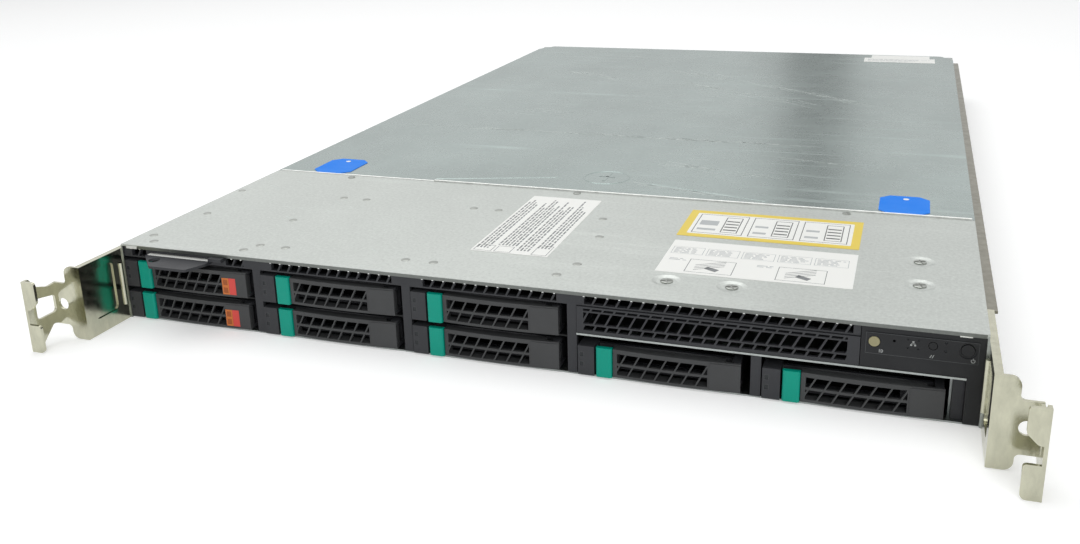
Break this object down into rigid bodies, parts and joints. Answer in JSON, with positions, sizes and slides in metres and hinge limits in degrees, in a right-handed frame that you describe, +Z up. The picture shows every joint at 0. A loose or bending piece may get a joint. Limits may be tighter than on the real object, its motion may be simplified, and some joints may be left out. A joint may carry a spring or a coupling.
{
  "type": "1u rack server",
  "caption": "One-unit rack server: low sheet-steel chassis with front drive bays, sliding carriers with levers, sliding top cover, pull-out power supply and rack ears.",
  "frame": {"origin": "middle of the chassis underside", "axes": "+X to the right seen from the front, +Y to the rear, +Z up"},
  "size_m": [0.4756, 0.792, 0.0434],
  "materials": {
    "zinc_steel": "satin zinc plate",
    "black_steel": "black coat",
    "panel_steel": "satin zinc plate",
    "cover_steel": "satin zinc plate",
    "bracket_steel": "bright yellowish zinc plate",
    "supply_steel": "satin zinc plate",
    "port_steel": "bright plated",
    "screw_steel": "bright plated",
    "sink_aluminium": "satin",
    "black_plastic": "fine satin",
    "dark_button": "satin",
    "fan_plastic": "satin",
    "smoke_plastic": "satin",
    "tan_plastic": "satin",
    "blue_plastic": "satin",
    "teal_plastic": "satin",
    "green_plastic": "satin",
    "green_board": "solder mask",
    "cable_jacket": "satin"
  },
  "bodies": {
    "chassis": {"chassis_base": "zinc_steel", "front_top_panel": "panel_steel", "front_frame": "black_plastic", "drive_cage": "black_steel", "bay_shelf": "zinc_steel", "optical_bay_filler": "black_plastic", "control_panel": "black_plastic", "control_board": "green_board", "rack_bracket_left": "bracket_steel", "rack_bracket_right": "bracket_steel", "inner_rails": "bracket_steel", "drive_backplane": "green_board", "fan_frames": "fan_plastic", "server_board": "green_board", "heatsinks": "sink_aluminium", "memory_modules": "green_board", "air_duct": "smoke_plastic", "supply_blank": "zinc_steel", "riser_card": "green_board", "rear_ports": "port_steel", "rivets_and_screws": "screw_steel", "cables": "cable_jacket"},
    "carrier_1": {"drive_carrier_1": "black_plastic"},
    "lever_1": {"carrier_lever_1": "black_plastic"},
    "latch_1": {"carrier_latch_1": "teal_plastic"},
    "carrier_2": {"drive_carrier_2": "black_plastic"},
    "lever_2": {"carrier_lever_2": "black_plastic"},
    "latch_2": {"carrier_latch_2": "teal_plastic"},
    "carrier_3": {"drive_carrier_3": "black_plastic"},
    "lever_3": {"carrier_lever_3": "black_plastic"},
    "latch_3": {"carrier_latch_3": "teal_plastic"},
    "carrier_4": {"drive_carrier_4": "black_plastic"},
    "lever_4": {"carrier_lever_4": "black_plastic"},
    "latch_4": {"carrier_latch_4": "teal_plastic"},
    "carrier_5": {"drive_carrier_5": "black_plastic"},
    "lever_5": {"carrier_lever_5": "black_plastic"},
    "latch_5": {"carrier_latch_5": "teal_plastic"},
    "carrier_6": {"drive_carrier_6": "black_plastic"},
    "lever_6": {"carrier_lever_6": "black_plastic"},
    "latch_6": {"carrier_latch_6": "teal_plastic"},
    "carrier_7": {"drive_carrier_7": "black_plastic"},
    "lever_7": {"carrier_lever_7": "black_plastic"},
    "latch_7": {"carrier_latch_7": "teal_plastic"},
    "carrier_8": {"drive_carrier_8": "black_plastic"},
    "lever_8": {"carrier_lever_8": "black_plastic"},
    "latch_8": {"carrier_latch_8": "teal_plastic"},
    "cover": {"rear_cover": "cover_steel", "cover_touch_pads": "blue_plastic"},
    "tag": {"info_tag": "black_plastic"},
    "id_button": {"id_button": "tan_plastic"},
    "reset_button": {"reset_button": "dark_button"},
    "power_button": {"power_button": "dark_button"},
    "supply": {"power_supply": "supply_steel"},
    "supply_catch": {"supply_latch": "green_plastic"},
    "rotor_1": {"fan_rotor_1": "fan_plastic"},
    "rotor_2": {"fan_rotor_2": "fan_plastic"},
    "rotor_3": {"fan_rotor_3": "fan_plastic"},
    "rotor_4": {"fan_rotor_4": "fan_plastic"},
    "rotor_5": {"fan_rotor_5": "fan_plastic"},
    "rotor_6": {"fan_rotor_6": "fan_plastic"}
  },
  "joints": [
    {"name": "carrier_1_slide", "type": "slide", "parent": "chassis", "child": "carrier_1", "axis": [0, -1, 0], "range_m": [0, 0.135]},
    {"name": "lever_1_hinge", "type": "hinge", "parent": "carrier_1", "child": "lever_1", "pos_m": [-0.1436, -0.3518, 0.0084], "axis": [0, 0, 1], "range_deg": [0, 55]},
    {"name": "latch_1_push", "type": "slide", "parent": "carrier_1", "child": "latch_1", "axis": [0, 1, 0], "range_m": [0, 0.0015], "stiffness_N_per_m": 300, "springref_m": -0.001},
    {"name": "carrier_2_slide", "type": "slide", "parent": "chassis", "child": "carrier_2", "axis": [0, -1, 0], "range_m": [0, 0.135]},
    {"name": "lever_2_hinge", "type": "hinge", "parent": "carrier_2", "child": "lever_2", "pos_m": [-0.0573, -0.3518, 0.0084], "axis": [0, 0, 1], "range_deg": [0, 55]},
    {"name": "latch_2_push", "type": "slide", "parent": "carrier_2", "child": "latch_2", "axis": [0, 1, 0], "range_m": [0, 0.0015], "stiffness_N_per_m": 300, "springref_m": -0.001},
    {"name": "carrier_3_slide", "type": "slide", "parent": "chassis", "child": "carrier_3", "axis": [0, -1, 0], "range_m": [0, 0.135]},
    {"name": "lever_3_hinge", "type": "hinge", "parent": "carrier_3", "child": "lever_3", "pos_m": [0.029, -0.3518, 0.0084], "axis": [0, 0, 1], "range_deg": [0, 55]},
    {"name": "latch_3_push", "type": "slide", "parent": "carrier_3", "child": "latch_3", "axis": [0, 1, 0], "range_m": [0, 0.0015], "stiffness_N_per_m": 300, "springref_m": -0.001},
    {"name": "carrier_4_slide", "type": "slide", "parent": "chassis", "child": "carrier_4", "axis": [0, -1, 0], "range_m": [0, 0.135]},
    {"name": "lever_4_hinge", "type": "hinge", "parent": "carrier_4", "child": "lever_4", "pos_m": [-0.1436, -0.3518, 0.0264], "axis": [0, 0, 1], "range_deg": [0, 55]},
    {"name": "latch_4_push", "type": "slide", "parent": "carrier_4", "child": "latch_4", "axis": [0, 1, 0], "range_m": [0, 0.0015], "stiffness_N_per_m": 300, "springref_m": -0.001},
    {"name": "carrier_5_slide", "type": "slide", "parent": "chassis", "child": "carrier_5", "axis": [0, -1, 0], "range_m": [0, 0.135]},
    {"name": "lever_5_hinge", "type": "hinge", "parent": "carrier_5", "child": "lever_5", "pos_m": [-0.0573, -0.3518, 0.0264], "axis": [0, 0, 1], "range_deg": [0, 55]},
    {"name": "latch_5_push", "type": "slide", "parent": "carrier_5", "child": "latch_5", "axis": [0, 1, 0], "range_m": [0, 0.0015], "stiffness_N_per_m": 300, "springref_m": -0.001},
    {"name": "carrier_6_slide", "type": "slide", "parent": "chassis", "child": "carrier_6", "axis": [0, -1, 0], "range_m": [0, 0.135]},
    {"name": "lever_6_hinge", "type": "hinge", "parent": "carrier_6", "child": "lever_6", "pos_m": [0.029, -0.3518, 0.0264], "axis": [0, 0, 1], "range_deg": [0, 55]},
    {"name": "latch_6_push", "type": "slide", "parent": "carrier_6", "child": "latch_6", "axis": [0, 1, 0], "range_m": [0, 0.0015], "stiffness_N_per_m": 300, "springref_m": -0.001},
    {"name": "carrier_7_slide", "type": "slide", "parent": "chassis", "child": "carrier_7", "axis": [0, -1, 0], "range_m": [0, 0.135]},
    {"name": "lever_7_hinge", "type": "hinge", "parent": "carrier_7", "child": "lever_7", "pos_m": [0.1153, -0.3518, 0.0084], "axis": [0, 0, 1], "range_deg": [0, 55]},
    {"name": "latch_7_push", "type": "slide", "parent": "carrier_7", "child": "latch_7", "axis": [0, 1, 0], "range_m": [0, 0.0015], "stiffness_N_per_m": 300, "springref_m": -0.001},
    {"name": "carrier_8_slide", "type": "slide", "parent": "chassis", "child": "carrier_8", "axis": [0, -1, 0], "range_m": [0, 0.135]},
    {"name": "lever_8_hinge", "type": "hinge", "parent": "carrier_8", "child": "lever_8", "pos_m": [0.2016, -0.3518, 0.0084], "axis": [0, 0, 1], "range_deg": [0, 55]},
    {"name": "latch_8_push", "type": "slide", "parent": "carrier_8", "child": "latch_8", "axis": [0, 1, 0], "range_m": [0, 0.0015], "stiffness_N_per_m": 300, "springref_m": -0.001},
    {"name": "cover_slide", "type": "slide", "parent": "chassis", "child": "cover", "axis": [0, 1, 0], "range_m": [0, 0.58]},
    {"name": "tag_slide", "type": "slide", "parent": "chassis", "child": "tag", "axis": [0, -1, 0], "range_m": [-0.013, 0.045]},
    {"name": "id_press", "type": "slide", "parent": "chassis", "child": "id_button", "axis": [0, 1, 0], "range_m": [0, 0.0008], "stiffness_N_per_m": 400, "springref_m": -0.0008},
    {"name": "reset_press", "type": "slide", "parent": "chassis", "child": "reset_button", "axis": [0, 1, 0], "range_m": [0, 0.0008], "stiffness_N_per_m": 400, "springref_m": -0.0008},
    {"name": "power_press", "type": "slide", "parent": "chassis", "child": "power_button", "axis": [0, 1, 0], "range_m": [0, 0.0008], "stiffness_N_per_m": 400, "springref_m": -0.0008},
    {"name": "supply_slide", "type": "slide", "parent": "chassis", "child": "supply", "axis": [0, 1, 0], "range_m": [0, 0.2]},
    {"name": "supply_catch_push", "type": "slide", "parent": "supply", "child": "supply_catch", "axis": [-1, 0, 0], "range_m": [0, 0.003], "stiffness_N_per_m": 400, "springref_m": -0.002},
    {"name": "fan_1_spin", "type": "hinge", "parent": "chassis", "child": "rotor_1", "pos_m": [-0.1775, -0.175, 0.0209], "axis": [0, 1, 0], "continuous": true},
    {"name": "fan_2_spin", "type": "hinge", "parent": "chassis", "child": "rotor_2", "pos_m": [-0.1065, -0.175, 0.0209], "axis": [0, 1, 0], "continuous": true},
    {"name": "fan_3_spin", "type": "hinge", "parent": "chassis", "child": "rotor_3", "pos_m": [-0.0355, -0.175, 0.0209], "axis": [0, 1, 0], "continuous": true},
    {"name": "fan_4_spin", "type": "hinge", "parent": "chassis", "child": "rotor_4", "pos_m": [0.0355, -0.175, 0.0209], "axis": [0, 1, 0], "continuous": true},
    {"name": "fan_5_spin", "type": "hinge", "parent": "chassis", "child": "rotor_5", "pos_m": [0.1065, -0.175, 0.0209], "axis": [0, 1, 0], "continuous": true},
    {"name": "fan_6_spin", "type": "hinge", "parent": "chassis", "child": "rotor_6", "pos_m": [0.1775, -0.175, 0.0209], "axis": [0, 1, 0], "continuous": true}
  ]
}
